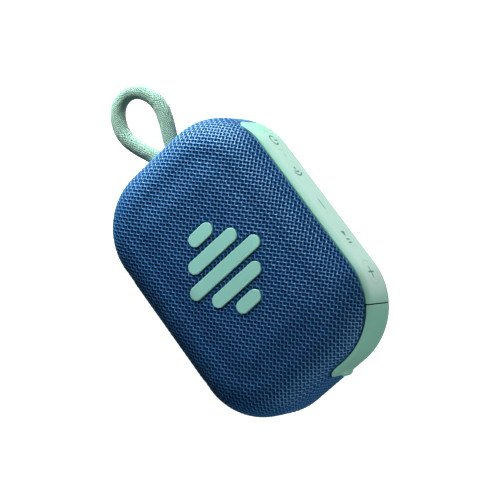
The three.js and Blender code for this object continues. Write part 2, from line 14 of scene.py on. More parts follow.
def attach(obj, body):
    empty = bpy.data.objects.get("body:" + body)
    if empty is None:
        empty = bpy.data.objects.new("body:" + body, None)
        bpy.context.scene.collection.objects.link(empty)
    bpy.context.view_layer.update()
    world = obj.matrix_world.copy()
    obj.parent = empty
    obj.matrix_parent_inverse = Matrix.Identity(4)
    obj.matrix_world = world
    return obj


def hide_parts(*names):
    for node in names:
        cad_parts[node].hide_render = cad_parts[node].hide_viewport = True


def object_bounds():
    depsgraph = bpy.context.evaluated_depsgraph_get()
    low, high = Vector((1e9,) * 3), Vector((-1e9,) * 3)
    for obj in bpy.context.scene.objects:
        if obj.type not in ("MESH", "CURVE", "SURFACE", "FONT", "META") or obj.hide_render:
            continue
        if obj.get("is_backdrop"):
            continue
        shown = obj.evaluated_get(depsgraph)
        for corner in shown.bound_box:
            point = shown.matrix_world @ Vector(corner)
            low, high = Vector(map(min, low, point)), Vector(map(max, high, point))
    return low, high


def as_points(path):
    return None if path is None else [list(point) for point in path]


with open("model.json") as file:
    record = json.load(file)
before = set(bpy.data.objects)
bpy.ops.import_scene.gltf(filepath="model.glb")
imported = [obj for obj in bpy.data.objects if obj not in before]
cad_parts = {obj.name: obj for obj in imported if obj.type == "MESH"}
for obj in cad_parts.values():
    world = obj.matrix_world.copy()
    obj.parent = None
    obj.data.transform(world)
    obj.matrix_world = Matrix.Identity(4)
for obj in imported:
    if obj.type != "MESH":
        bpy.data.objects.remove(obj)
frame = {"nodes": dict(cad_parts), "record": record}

cad_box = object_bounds()

# ------------------------------------------------------------------ driving dimensions, in millimetres
MM = 0.001
WIDTH = 134.0
HEIGHT = 94.0
CORNER = 32.0
EDGE = 16.2
SIDE_FLAT = 7.6
EDGE_DEPTH = 22.7
DOME = 1.4
DOME_END = 30.0
RAIL = 0.6
MIDDLE = HEIGHT / 2 + RAIL  # height of the body's centre

BAND_HALF = 12.8
BAND_THICK = 2.1
RECESS = 2.4  # depth of the channel that the band and the flap lie in
BAND_START = -51.2
SEAM = 55.2
SEAM_HALF = 0.3
FLAP_END = 95.7
LIP_Y = 5.6  # middle of the flap's pull lip
LIP_RAISE = 0.95  # how far the pull lip stands out
NOTCH_Y = 0.6  # middle of the small notch beside the lip
START_ROUND = 4.5
END_ROUND = 6.0
SLIT = 0.45  # from the cloth's edge to the band
TUCK = 1.5  # how far from an opening the cloth starts to dip
TUCK_DEPTH = 0.55  # how far down the cloth's cut edge dips
TRIM_GAP = 0.3  # between the cloth's edge and a piece set into it
BUTTONS = {"power": -36.5, "wireless": -17.6, "minus": 1.2, "play": 20.6, "plus": 40.2}
CAP = (12.44, 8.84)
CAP_PLAY = 0.09  # how much more room each end of a cap has where the band bends
WINDOW = (12.5, 8.9)
LED_AT = -27.6
SYMBOL_HEIGHT = 0.03  # how far the printed symbols stand out
ICON_LINE = 0.8
BAR_WIDTH = 6.4
BAR_PITCH = 9.6
BADGE_BARS = [((i - 2) * BAR_PITCH, tall) for i, tall in enumerate((14, 30, 44, 30, 14))]
PLATE = (51.5, 30, 14)  # rear plate: half its width, half its height and its corner radius
FOOT = (34, 11, 6)  # foot: half its width, half its depth and its corner radius
BEZEL = (6, 10, 5.9)  # rim of the loop's slot: half its depth, half its height and its corner radius
PADS = [(x, z) for x in (-38, 38) for z in (-18, 18)]
PAD_RADIUS = 4.5
PORT_Z = 17.5
PORT_BLOCK = (6, 8.5)  # half the depth and height of the port's frame

KNIT_PITCH = 2.48
KNIT_ROW = 1.2
KNIT_DEPTH = 0.6
KNIT_LOOP = 0.22  # how far the loops of every other row stand out
KNIT_POWER = 2.6  # shape of the eyelets: 2 is an ellipse, more is squarer
KNIT_BANK = 0.22  # how far from an eyelet's rim its bank runs, as a share of the pitch

# The carry loop's centre line, as half of the route, from the body to the tip.
LOOP_D = 7.5
LOOP_STRANDS = 36
LOOP_LAY = 20.0  # length along the cord in which a strand goes once round
LOOP_STEPS = 160  # mesh points round the cord
LOOP_VALLEY = 0.34  # how far the hollows between the strands lie inside the cord's radius
LOOP_CROWN = 0.42  # how far a strand rises out of the hollows
LOOP_HALF = [
    (-58.2, 0, 4.1),
    (-63.5, 0, 4.1),
    (-67.5, 0, 4.5),
    (-72, 0, 6.2),
    (-79.5, 0, 9.6),
    (-86, 0, 11.6),
    (-92.5, 0, 11.4),
    (-98.6, 0, 8.6),
    (-102.2, 0, 4.4),
]
LOOP_TIP = (-103.2, 0, 0)


# ------------------------------------------------------------------ camera
def make_camera():
    """A long lens from the right and above, rolled so that the button side faces up and right."""
    azimuth, elevation, roll = (math.radians(a) for a in (16.4, 21.6, 47.75))
    distance = 0.963
    back = Vector(
        (
            math.sin(azimuth) * math.cos(elevation),
            -math.cos(azimuth) * math.cos(elevation),
            math.sin(elevation),
        )
    )
    across = Vector((0, 0, 1)).cross(back).normalized()
    upright = back.cross(across)
    right = across * math.cos(roll) + upright * math.sin(roll)
    up = upright * math.cos(roll) - across * math.sin(roll)
    camera = bpy.data.objects.new("camera", bpy.data.cameras.new("camera"))
    turn = Matrix((right, up, back)).transposed()
    camera.matrix_world = Matrix.Translation(Vector((0, 0, MIDDLE * MM)) + back * distance) @ turn.to_4x4()
    camera.data.lens = 150.5
    camera.data.shift_x = 0.003
    camera.data.shift_y = 0.033
    bpy.context.collection.objects.link(camera)
    bpy.context.scene.camera = camera


make_camera()


# ------------------------------------------------------------------ materials
class Nodes:
    """A short way to write a node tree."""

    def __init__(self, name):
        self.material = bpy.data.materials.new(name)
        self.material.use_nodes = True
        self.tree = self.material.node_tree
        self.shader = self.tree.nodes["Principled BSDF"]

    def add(self, kind, **settings):
        node = self.tree.nodes.new("ShaderNode" + kind)
        for key, value in settings.items():
            setattr(node, key, value)
        return node

    def link(self, source, target):
        self.tree.links.new(source, target)

    def feed(self, target, value):
        """Puts a number, a colour or another node's output on a socket."""
        if isinstance(value, bpy.types.NodeSocket):
            self.link(value, target)
        else:
            target.default_value = value

    def math(self, operation, a, b=0.0, c=0.0):
        node = self.add("Math", operation=operation)
        for socket, value in zip(node.inputs, (a, b, c)):
            self.feed(socket, value)
        return node.outputs[0]

    def noise(self, vector, scale, detail=3.0, roughness=0.5):
        node = self.add("TexNoise")
        self.link(vector, node.inputs["Vector"])
        node.inputs["Scale"].default_value = scale
        node.inputs["Detail"].default_value = detail
        node.inputs["Roughness"].default_value = roughness
        return node.outputs["Fac"]

    def mix(self, factor, a, b):
        node = self.add("Mix", data_type="RGBA")
        self.feed(node.inputs[0], factor)
        self.feed(node.inputs[6], a)
        self.feed(node.inputs[7], b)
        return node.outputs[2]

    def remap(self, value, low, high, to_low=0.0, to_high=1.0):
        node = self.add("MapRange", interpolation_type="SMOOTHSTEP")
        for socket, number in zip(node.inputs, (value, low, high, to_low, to_high)):
            self.feed(socket, number)
        return node.outputs[0]

    def bump(self, height, distance, strength):
        node = self.add("Bump")
        node.inputs["Strength"].default_value = strength
        node.inputs["Distance"].default_value = distance
        self.link(height, node.inputs["Height"])
        return node.outputs["Normal"]

    def place(self):
        return self.add("TexCoord").outputs["Object"]

    def from_middle(self, value):
        """How far a repeating coordinate is from its nearest whole number."""
        wrapped = self.math("FRACT", self.math("ADD", value, 0.5))
        return self.math("ABSOLUTE", self.math("SUBTRACT", wrapped, 0.5))


def colour(red, green, blue):
    """An sRGB colour, 0 to 255, as the shader's linear one."""
    linear = [
        c / 12.92 if c <= 0.04045 else ((c + 0.055) / 1.055) ** 2.4
        for c in (red / 255, green / 255, blue / 255)
    ]
    return (*linear, 1.0)


def scaled(tint, factor):
    return (*(min(1.0, c * factor) for c in tint[:3]), 1.0)


def knit_material():
    """Light threads round staggered eyelets, with painted shade in the eyelets and a painted highlight on
    every other row's loops. The knit map counts eyelets across and rows up.
    """
    m = Nodes("knit")
    uv = m.add("UVMap", uv_map="knit").outputs["UV"]
    split = m.add("SeparateXYZ")
    m.link(uv, split.inputs[0])
    x, y = split.outputs[0], split.outputs[1]
    half_row = m.math("MULTIPLY", y, 0.5)
    edges = [m.from_middle(m.math(way, x, half_row)) for way in ("ADD", "SUBTRACT")]
    powers = [m.math("POWER", edge, KNIT_POWER) for edge in edges]
    web = m.math("POWER", m.math("ADD", *powers), 1 / KNIT_POWER)
    place = m.place()
    patches = m.noise(place, 35.0, 2.0)
    fibres = m.noise(place, 2600.0, 4.0, 0.7)
    ragged = m.math("ADD", web, m.math("MULTIPLY", m.math("SUBTRACT", fibres, 0.5), 0.1))
    thread = m.mix(m.remap(patches, 0.35, 0.65), colour(8, 57, 114), colour(13, 65, 124))
    thread = m.mix(m.remap(fibres, 0.25, 0.7), colour(6, 48, 98), thread)
    # Painted highlight: a lighter blue on every other row's loops, strongest along each thread's crest,
    # stands in for light catching the raised loops.
    loops = m.remap(m.math("SINE", m.math("MULTIPLY", y, math.pi)), 0.0, 0.9)
    highlight_crest = m.remap(ragged, 0.38, 0.5, 0.3, 1.0)
    thread_with_painted_highlight = m.mix(m.math("MULTIPLY", loops, highlight_crest), thread, colour(80, 144, 184))
    # Painted shade: the eyelets are sunk but not cut through, so a deep navy stands in for the shade inside
    # the holes.
    eyelet = m.remap(ragged, 0.33, 0.45, 1.0, 0.0)
    m.link(m.mix(eyelet, thread_with_painted_highlight, colour(0, 47, 92)), m.shader.inputs["Base Color"])
    m.link(m.remap(eyelet, 0.0, 1.0, 1.0, 0.1), m.shader.inputs["Specular IOR Level"])
    m.link(m.remap(eyelet, 0.0, 1.0, 0.36, 0.95), m.shader.inputs["Roughness"])
    twist = m.math("ADD", x, m.math("MULTIPLY", y, 0.5))
    plies = m.math("SINE", m.math("MULTIPLY", twist, math.tau * 4))
    yarn = m.math("ADD", m.math("MULTIPLY", plies, 0.35), fibres)
    m.link(m.bump(yarn, 0.00006, 0.6), m.shader.inputs["Normal"])
    m.shader.inputs["Specular Tint"].default_value = (0.5, 0.84, 1.0, 1.0)
    return m.material


def moulded(
    name, tint, rough=0.5, grain=900.0, relief=0.00002, spread=0.06, specular=0.4, metallic=0.0, sheen=0.0
):
    """Moulded plastic, rubber or metal with a fine grain, faint colour patches and uneven gloss."""
    m = Nodes(name)
    place = m.place()
    patches = m.noise(place, 28.0, 3.0)
    fine = m.noise(place, grain, 3.0, 0.6)
    body = m.mix(m.remap(patches, 0.3, 0.7), scaled(tint, 1 - spread), scaled(tint, 1 + spread))
    speck = m.mix(m.remap(fine, 0.25, 0.75), scaled(tint, 1 - spread), scaled(tint, 1 + spread))
    m.link(m.mix(0.4, body, speck), m.shader.inputs["Base Color"])
    m.link(m.remap(fine, 0.2, 0.8, rough - 0.08, rough + 0.08), m.shader.inputs["Roughness"])
    m.link(m.bump(fine, relief, 0.5), m.shader.inputs["Normal"])
    m.shader.inputs["Specular IOR Level"].default_value = specular
    m.shader.inputs["Metallic"].default_value = metallic
    m.shader.inputs["Sheen Weight"].default_value = sheen
    m.shader.inputs["Sheen Roughness"].default_value = 0.3
    return m.material


def braid_material():
    """Polyester braid: the strand map counts strands along and round the cord."""
    m = Nodes("braid")
    uv = m.add("UVMap", uv_map="strand").outputs["UV"]
    split = m.add("SeparateXYZ")
    m.link(uv, split.inputs[0])
    place = m.place()
    crown = m.remap(split.outputs[1], 0.1, 0.8)
    fibres = m.noise(place, 3200.0, 3.0, 0.7)
    patches = m.noise(place, 60.0, 2.0)
    tint = m.mix(m.remap(patches, 0.3, 0.7), colour(152, 188, 171), colour(160, 195, 178))
    tint = m.mix(m.remap(fibres, 0.3, 0.75), colour(137, 175, 158), tint)
    # Painted shade: a dark green in the hollows between the strands, where the crown is low, fading to the
    # tint on the strands' crowns.
    m.link(m.mix(crown, colour(66, 116, 98), tint), m.shader.inputs["Base Color"])
    plies = m.math("SINE", m.math("MULTIPLY", split.outputs[0], math.tau * 3))
    yarn = m.math("ADD", m.math("MULTIPLY", plies, 0.3), fibres)
    m.link(m.bump(yarn, 0.00005, 0.6), m.shader.inputs["Normal"])
    m.shader.inputs["Roughness"].default_value = 0.75
    m.shader.inputs["Sheen Weight"].default_value = 0.1
    m.shader.inputs["Specular IOR Level"].default_value = 0.2
    m.shader.inputs["Subsurface Weight"].default_value = 0.5
    m.shader.inputs["Subsurface Radius"].default_value = (1, 1, 1)
    m.shader.inputs["Subsurface Scale"].default_value = 0.003
    return m.material


MINT = colour(124, 184, 164)
LOOKS = {
    "cloth": knit_material(),
    "braid": braid_material(),
    "trim": moulded("mint_rubber", MINT, 0.42, 1500.0, 0.000012, 0.02, specular=0.5, sheen=0.15),
    "badge": moulded("mint_plastic", colour(130, 189, 177), 0.5, 1500.0, 0.00001, 0.02),
    "housing": moulded("navy_plastic", colour(26, 52, 88), 0.55),
    "rubber": moulded("navy_rubber", colour(30, 44, 66), 0.75, 700.0, 0.00003, 0.1, specular=0.3),
    "plastic": moulded("black_plastic", colour(34, 35, 38), 0.5),
    "steel": moulded("zinc", colour(186, 190, 194), 0.3, 1800.0, 0.000008, 0.08, 0.5, metallic=1.0),
    "iron": moulded("sintered_magnet", colour(70, 70, 74), 0.6, 600.0, 0.00003, 0.15, 0.5, metallic=0.6),
    "copper": moulded(
        "enamelled_copper", colour(184, 115, 51), 0.35, 1200.0, 0.00001, 0.1, 0.5, metallic=1.0
    ),
    "paper": moulded("coated_pulp", colour(40, 40, 44), 0.8, 500.0, 0.00005, 0.15, specular=0.2),
    "board": moulded("solder_mask", colour(20, 92, 62), 0.35, 900.0, 0.00001, 0.1),
    "battery": moulded("shrink_sleeve", colour(46, 110, 176), 0.3, 400.0, 0.00002, 0.06),
    "lens": moulded("clear_lens", colour(176, 208, 244), 0.15, 900.0, 0.000004, 0.03, specular=0.6),
}
INK = moulded("teal_print", colour(38, 104, 104), 0.6, 1500.0, 0.00001, 0.08, specular=0.3)


# ------------------------------------------------------------------ flat drawings as signed distances
def rounded_box(x, y, half_x, half_y, radius):
    """Distance to a rounded rectangle round the origin, negative inside."""
    qx = np.abs(x) - (half_x - radius)
    qy = np.abs(y) - (half_y - radius)
    outside = np.hypot(np.maximum(qx, 0), np.maximum(qy, 0))
    return outside + np.minimum(np.maximum(qx, qy), 0) - radius


def stadium(x, y, length, width):
    return rounded_box(x, y, length / 2, width / 2, min(length, width) / 2)


def stroke(x, y, start, end, width):
    """Distance to a straight line with round ends."""
    a, b = np.array(start, float), np.array(end, float)
    along = b - a
    t = np.clip(((x - a[0]) * along[0] + (y - a[1]) * along[1]) / max(along @ along, 1e-9), 0, 1)
    return np.hypot(x - a[0] - t * along[0], y - a[1] - t * along[1]) - width / 2


def arc_stroke(x, y, radius, facing, half_angle, width):
    """Distance to an arc round the origin, with round ends, open away from where it faces."""
    angle = np.abs((np.arctan2(y, x) - math.radians(facing) + math.pi) % math.tau - math.pi)
    limit = math.radians(half_angle)
    on_arc = np.abs(np.hypot(x, y) - radius)
    tip = np.hypot(
        np.hypot(x, y) * np.cos(np.maximum(angle - limit, 0)) - radius,
        np.hypot(x, y) * np.sin(np.clip(angle - limit, 0, math.pi / 2)),
    )
    return np.where(angle <= limit, on_arc, tip) - width / 2


def either(*distances):
    return np.minimum.reduce(distances)


def without(distance, *holes):
    return np.maximum.reduce([distance, *(-hole for hole in holes)])


# ------------------------------------------------------------------ the body's form
def edge_tables():
    """Arc length, inset, depth and lean along the rounded edge, from the face to the middle plane.

    The lean is the angle of the surface's normal: a right angle on the face, nothing on the side wall.
    """
    angle = np.linspace(math.pi / 2, 0, 400)
    inset = EDGE * (1 - np.cos(angle))
    depth = SIDE_FLAT + (EDGE_DEPTH - SIDE_FLAT) * np.sin(angle)
    lean = np.arctan2(EDGE * np.sin(angle), (EDGE_DEPTH - SIDE_FLAT) * np.cos(angle))
    length = np.concatenate(([0], np.cumsum(np.hypot(np.diff(inset), np.diff(depth)))))
    length = np.append(length, length[-1] + SIDE_FLAT)
    return length, np.append(inset, 0), np.append(depth, 0), np.append(lean, 0)


ARC, ARC_INSET, ARC_DEPTH, ARC_LEAN = edge_tables()
ARC_END = ARC[-1]
FACE_X = WIDTH / 2 - EDGE
FACE_Z = HEIGHT / 2 - EDGE
FACE_ROUND = CORNER - EDGE


def arc_at(depth):
    """Arc length from the face to where the edge has come down to a distance from the middle plane."""
    return float(np.interp(-depth, -ARC_DEPTH, ARC))


def face_distance(u, v):
    """Distance from the flat face, along the cloth's flat pattern."""
    return rounded_box(u, v, FACE_X, FACE_Z, FACE_ROUND)


def wrap_front(u, v, depth):
    """The cloth's flat pattern wrapped round the front half, as far as the middle plane."""
    beyond = face_distance(u, v)
    length = np.clip(beyond, 0, ARC_END)
    qx = np.maximum(np.abs(u) - (FACE_X - FACE_ROUND), 0)
    qz = np.maximum(np.abs(v) - (FACE_Z - FACE_ROUND), 0)
    norm = np.maximum(np.hypot(qx, qz), 1e-9)
    nx, nz = np.sign(u) * qx / norm, np.sign(v) * qz / norm
    inset = np.interp(length, ARC, ARC_INSET)
    lean = np.where(beyond > 0, np.interp(length, ARC, ARC_LEAN), math.pi / 2)
    rise = np.clip(-beyond / (DOME_END - EDGE), 0, 1)
    half = np.interp(length, ARC, ARC_DEPTH) + DOME * rise * rise * (3 - 2 * rise)
    out = np.where(beyond > 0, EDGE - inset - beyond, 0) - depth * np.cos(lean)
    return np.stack([u + nx * out, depth * np.sin(lean) - half, v + nz * out + MIDDLE], 1)


def wrap_back(u, v, depth):
    points = wrap_front(u, v, depth)
    beyond = face_distance(u, v)
    rise = np.clip(-beyond / (DOME_END - EDGE), 0, 1)
    points[:, 1] = -points[:, 1] - DOME * rise * rise * (3 - 2 * rise)
    return points


def outline_place(u, v):
    """How far along the body's outline a pattern point lies, from top centre and positive to the right."""
    straight = WIDTH / 2 - CORNER
    qx = np.maximum(np.abs(u) - straight, 0)
    qz = v - (HEIGHT / 2 - CORNER)
    angle = np.where(qx > 0, np.arctan2(qx, np.maximum(qz, 0)), 0)
    past = np.where(qx > 0, np.maximum(-qz, 0), 0)
    return np.sign(u) * (np.minimum(np.abs(u), straight) + CORNER * angle + past)


def outline_at(s):
    """Point and outward direction on the body's outline."""
    straight = WIDTH / 2 - CORNER
    arc = CORNER * math.pi / 2
    side = np.where(s < 0, -1.0, 1.0)
    along = np.abs(s)
    angle = np.clip((along - straight) / CORNER, 0, math.pi / 2)
    x = side * (np.minimum(along, straight) + CORNER * np.sin(angle))
    z = HEIGHT / 2 - CORNER + CORNER * np.cos(angle) - np.maximum(along - straight - arc, 0)
    return x, z, side * np.sin(angle), np.cos(angle)


def on_outline(s, y, depth):
    """A strip pattern, along the outline and across the body, wrapped onto the body's edge."""
    x, z, nx, nz = outline_at(s)
    t = np.clip((np.abs(y) - SIDE_FLAT) / (EDGE_DEPTH - SIDE_FLAT), 0, 0.98)
    inset = EDGE * (1 - np.sqrt(1 - t * t))
    lean = np.arctan(EDGE * t / np.sqrt(1 - t * t) / (EDGE_DEPTH - SIDE_FLAT))
    inward = inset + depth * np.cos(lean)
    return np.stack([x - nx * inward, y - np.sign(y) * depth * np.sin(lean), z - nz * inward + MIDDLE], 1)


def flat(origin, right, up):
    """A flat drawing at origin; its outward side is right x up."""
    o, r, t = (np.array(v, float) for v in (origin, right, up))
    out = np.cross(r, t)

    def place(u, v, depth):
        return o + u[:, None] * r + v[:, None] * t - np.broadcast_to(depth, u.shape)[:, None] * out

    return place


# ------------------------------------------------------------------ panels
def slope(distance, p):
    """Unit direction in which a drawing's distance grows, and its steepness."""
    e = 0.02  # half the length that the slope is measured over
    gx = (distance(p[:, 0] + e, p[:, 1]) - distance(p[:, 0] - e, p[:, 1])) / (2 * e)
    gy = (distance(p[:, 0], p[:, 1] + e) - distance(p[:, 0], p[:, 1] - e)) / (2 * e)
    steep = np.maximum(np.hypot(gx, gy), 1e-6)
    return np.stack([gx / steep, gy / steep], 1), steep


def cut_grid(distance, span, step, edge):
    """Points and quads of a grid inside a drawing shrunk by edge, with the rim moved onto its line."""
    u = np.arange(span[0], span[1] + step[0], step[0])
    v = np.arange(span[2], span[3] + step[1], step[1])
    points = np.stack(np.meshgrid(u, v, indexing="ij"), -1).reshape(-1, 2)
    value = distance(points[:, 0], points[:, 1]) + edge
    inside = value < -0.35 * min(step)
    index = np.arange(len(points)).reshape(len(u), len(v))
    quads = np.stack([index[:-1, :-1], index[1:, :-1], index[1:, 1:], index[:-1, 1:]], -1).reshape(-1, 4)
    quads = quads[inside[quads].any(1)]
    used = np.unique(quads)
    rim = used[~inside[used]]
    moved = points[rim]
    for _ in range(5):  # a few steps bring every rim point onto the line
        direction, steep = slope(distance, moved)
        miss = (distance(moved[:, 0], moved[:, 1]) + edge) / steep
        moved = moved - direction * np.clip(miss, -max(step), max(step))[:, None]
    points[rim] = moved
    renumber = np.full(len(points), -1)
    renumber[used] = np.arange(len(used))
    return points[used], renumber[quads]


def rim_edges(quads):
    """Edges with one face, in the direction that face runs."""
    edges = np.concatenate([quads[:, [i, (i + 1) % 4]] for i in range(4)])
    seen = {tuple(edge) for edge in edges.tolist()}
    return np.array([edge for edge in edges.tolist() if (edge[1], edge[0]) not in seen])


def mesh_object(name, points, faces, look, maps=()):
    """A smooth mesh object in metres. maps are (name, one pair per point)."""
    mesh = bpy.data.meshes.new(name)
    mesh.vertices.add(len(points))
    mesh.vertices.foreach_set("co", (np.asarray(points) * MM).ravel())
    faces = [np.asarray(f) for f in faces if len(f)]
    sizes = np.concatenate([np.full(len(f), f.shape[1]) for f in faces])
    corners = np.concatenate([f.ravel() for f in faces])
    mesh.loops.add(len(corners))
    mesh.loops.foreach_set("vertex_index", corners)
    mesh.polygons.add(len(sizes))
    mesh.polygons.foreach_set("loop_start", np.concatenate([[0], np.cumsum(sizes)[:-1]]))
    mesh.update(calc_edges=True)
    mesh.polygons.foreach_set("use_smooth", np.ones(len(sizes), bool))
    for map_name, pairs in maps:
        layer = mesh.uv_layers.new(name=map_name)
        layer.data.foreach_set("uv", np.asarray(pairs, float)[corners].ravel())
    mesh.validate()
    mesh.materials.append(look)
    obj = bpy.data.objects.new(name, mesh)
    bpy.context.collection.objects.link(obj)
    return obj


def panel(
    name,
    look,
    distance,
    place,
    span,
    step,
    thick,
    fillet=0.3,
    relief=None,
    closed=True,
    body="housing",
    stands_for=(),
    knit=None,
):
    """A drawing cut out, wrapped by place(u, v, depth), rounded at its edges and closed at its back."""
    step = step if isinstance(step, tuple) else (step, step)
    grid, quads = cut_grid(distance, span, step, fillet)
    rim = rim_edges(quads)
    rim_points, inverse = np.unique(rim, return_inverse=True)
    rim = inverse.reshape(rim.shape)
    direction, _ = slope(distance, grid[rim_points])
    height = relief(grid[:, 0], grid[:, 1]) if relief else np.zeros(len(grid))

    flat_rings = []
    depths = []
    turns = 4
    for i in range(1, turns + 1):
        angle = i / turns * math.pi / 2
        flat_rings.append(grid[rim_points] + direction * fillet * math.sin(angle))
        depths.append(height[rim_points] + fillet * (1 - math.cos(angle)))
    flat_rings.append(flat_rings[-1])
    depths.append(np.full(len(rim_points), float(thick)))

    points = [place(grid[:, 0], grid[:, 1], height)]
    points += [place(ring[:, 0], ring[:, 1], depth) for ring, depth in zip(flat_rings, depths)]
    pattern = [grid, *flat_rings]
    start = len(grid)
    chain = [rim_points]
    for _ in flat_rings:
        chain.append(start + np.arange(len(rim_points)))
        start += len(rim_points)
    faces = [quads]
    if closed:
        points.append(place(grid[:, 0], grid[:, 1], np.full(len(grid), float(thick))))
        pattern.append(grid)
        chain.append(start + rim_points)
        faces.append(quads[:, ::-1] + start)
    for inner, outer in zip(chain, chain[1:]):
        a, b = rim[:, 0], rim[:, 1]
        faces.append(np.stack([outer[a], outer[b], inner[b], inner[a]], 1))
    points = np.concatenate(points)

    middle = quads[len(quads) // 2]
    corner = points[middle]
    above = place(grid[middle[:1], 0], grid[middle[:1], 1], np.array([-1.0]))[0]
    out = np.cross(corner[1] - corner[0], corner[3] - corner[0])
    if out @ (above - corner[0]) < 0:
        faces = [f[:, ::-1] for f in faces]
    maps = []
    if knit:
        maps.append(("knit", np.stack(knit(*np.concatenate(pattern).T), 1)))
    obj = mesh_object(name, points, faces, look, maps)
    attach(obj, body)
    if stands_for:
        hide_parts(*stands_for)
    return obj


# ------------------------------------------------------------------ carry loop
def smooth_route(points, spacing=0.15):
    """A curve through the points, stepped evenly."""
    p = np.array(points, float)
    p = np.vstack([2 * p[0] - p[1], p, 2 * p[-1] - p[-2]])
    fine = []
    t = np.linspace(0, 1, 60, endpoint=False)[:, None]
    for a, b, c, d in zip(p, p[1:], p[2:], p[3:]):
        square, cube = 2 * a - 5 * b + 4 * c - d, 3 * b - a - 3 * c + d
        fine.append(0.5 * (2 * b + (c - a) * t + square * t**2 + cube * t**3))
    fine = np.vstack([*fine, p[-2:-1]])
    length = np.concatenate(([0], np.cumsum(np.linalg.norm(np.diff(fine, axis=0), axis=1))))
    count = int(length[-1] / spacing)
    at = np.linspace(0, length[-1], count + 1)
    return np.stack([np.interp(at, length, fine[:, k]) for k in range(3)], 1), at


def carry_loop():
    """A round braid: strands wind both ways and pass over and under each other."""
    route, at = smooth_route([*LOOP_HALF, LOOP_TIP, *((x, y, -z) for x, y, z in reversed(LOOP_HALF))])
    route[:, 2] += MIDDLE
    tangent = np.gradient(route, axis=0)
    tangent /= np.linalg.norm(tangent, axis=1)[:, None]
    side = np.tile([0.0, 1.0, 0.0], (len(route), 1))
    lift = np.cross(tangent, side)
    angle = np.arange(LOOP_STEPS) / LOOP_STEPS * math.tau
    s, a = np.meshgrid(at, angle, indexing="ij")
    one = LOOP_STRANDS / 2 * (a / math.tau + s / LOOP_LAY)
    two = LOOP_STRANDS / 2 * (a / math.tau - s / LOOP_LAY)
    p, q = one % 1 - 0.5, two % 1 - 0.5
    over = (np.floor(one) + np.floor(two)) % 2 < 1
    across, along = np.where(over, p, q), np.where(over, q, p)
    crown = np.sqrt(np.maximum(1 - (2.4 * across) ** 2, 0)) * (1 - 1.6 * along**2)
    radius = LOOP_D / 2 - LOOP_VALLEY + LOOP_CROWN * crown
    ring = radius[..., None] * (np.cos(a)[..., None] * side[:, None] + np.sin(a)[..., None] * lift[:, None])
    points = (route[:, None] + ring).reshape(-1, 3)
    index = np.arange(len(route) * LOOP_STEPS).reshape(len(route), LOOP_STEPS)
    turn = np.roll(index, -1, axis=1)
    quads = np.stack([index[:-1], index[1:], turn[1:], turn[:-1]], -1).reshape(-1, 4)
    last = len(points)
    points = np.vstack([points, route[0], route[-1]])
    caps = [
        np.stack([np.full(LOOP_STEPS, last), index[0], turn[0]], 1),
        np.stack([np.full(LOOP_STEPS, last + 1), turn[-1], index[-1]], 1),
    ]
    # The strand map's second number is the crown, which the braid's colour uses for the painted shade in
    # the hollows.
    map_pairs = np.stack([np.where(over, across * 3, across * 3 + 0.5), crown], -1).reshape(-1, 2)
    map_pairs = np.vstack([map_pairs, [[0, 0], [0, 0]]])
    obj = mesh_object("carry_loop_braid", points, [quads, *caps], LOOKS["braid"], [("strand", map_pairs)])
    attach(obj, "housing")
    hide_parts("carry_loop")
    metres = route * MM
    tuple(metres[0])
    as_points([tuple(point) for point in metres[::6]] + [tuple(metres[-1])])


# ------------------------------------------------------------------ cloth
def knit_place(u, v):
    """Eyelets across and rows up at a pattern point."""
    return u / KNIT_PITCH, v / KNIT_ROW


def knit_relief(u, v):
    """Depth of the knit: threads between sunken eyelets, with every other row's loops standing out."""
    x, y = knit_place(u, v)
    edges = [np.abs((way + 0.5) % 1 - 0.5) for way in (x + y / 2, x - y / 2)]
    web = (edges[0] ** KNIT_POWER + edges[1] ** KNIT_POWER) ** (1 / KNIT_POWER)
    sink = np.clip((0.5 - web) / KNIT_BANK, 0, 1)
    thread = KNIT_LOOP * (1 - np.clip(np.sin(math.pi * y), 0, 1))
    return thread + (KNIT_DEPTH - thread) * sink * sink * (3 - 2 * sink)


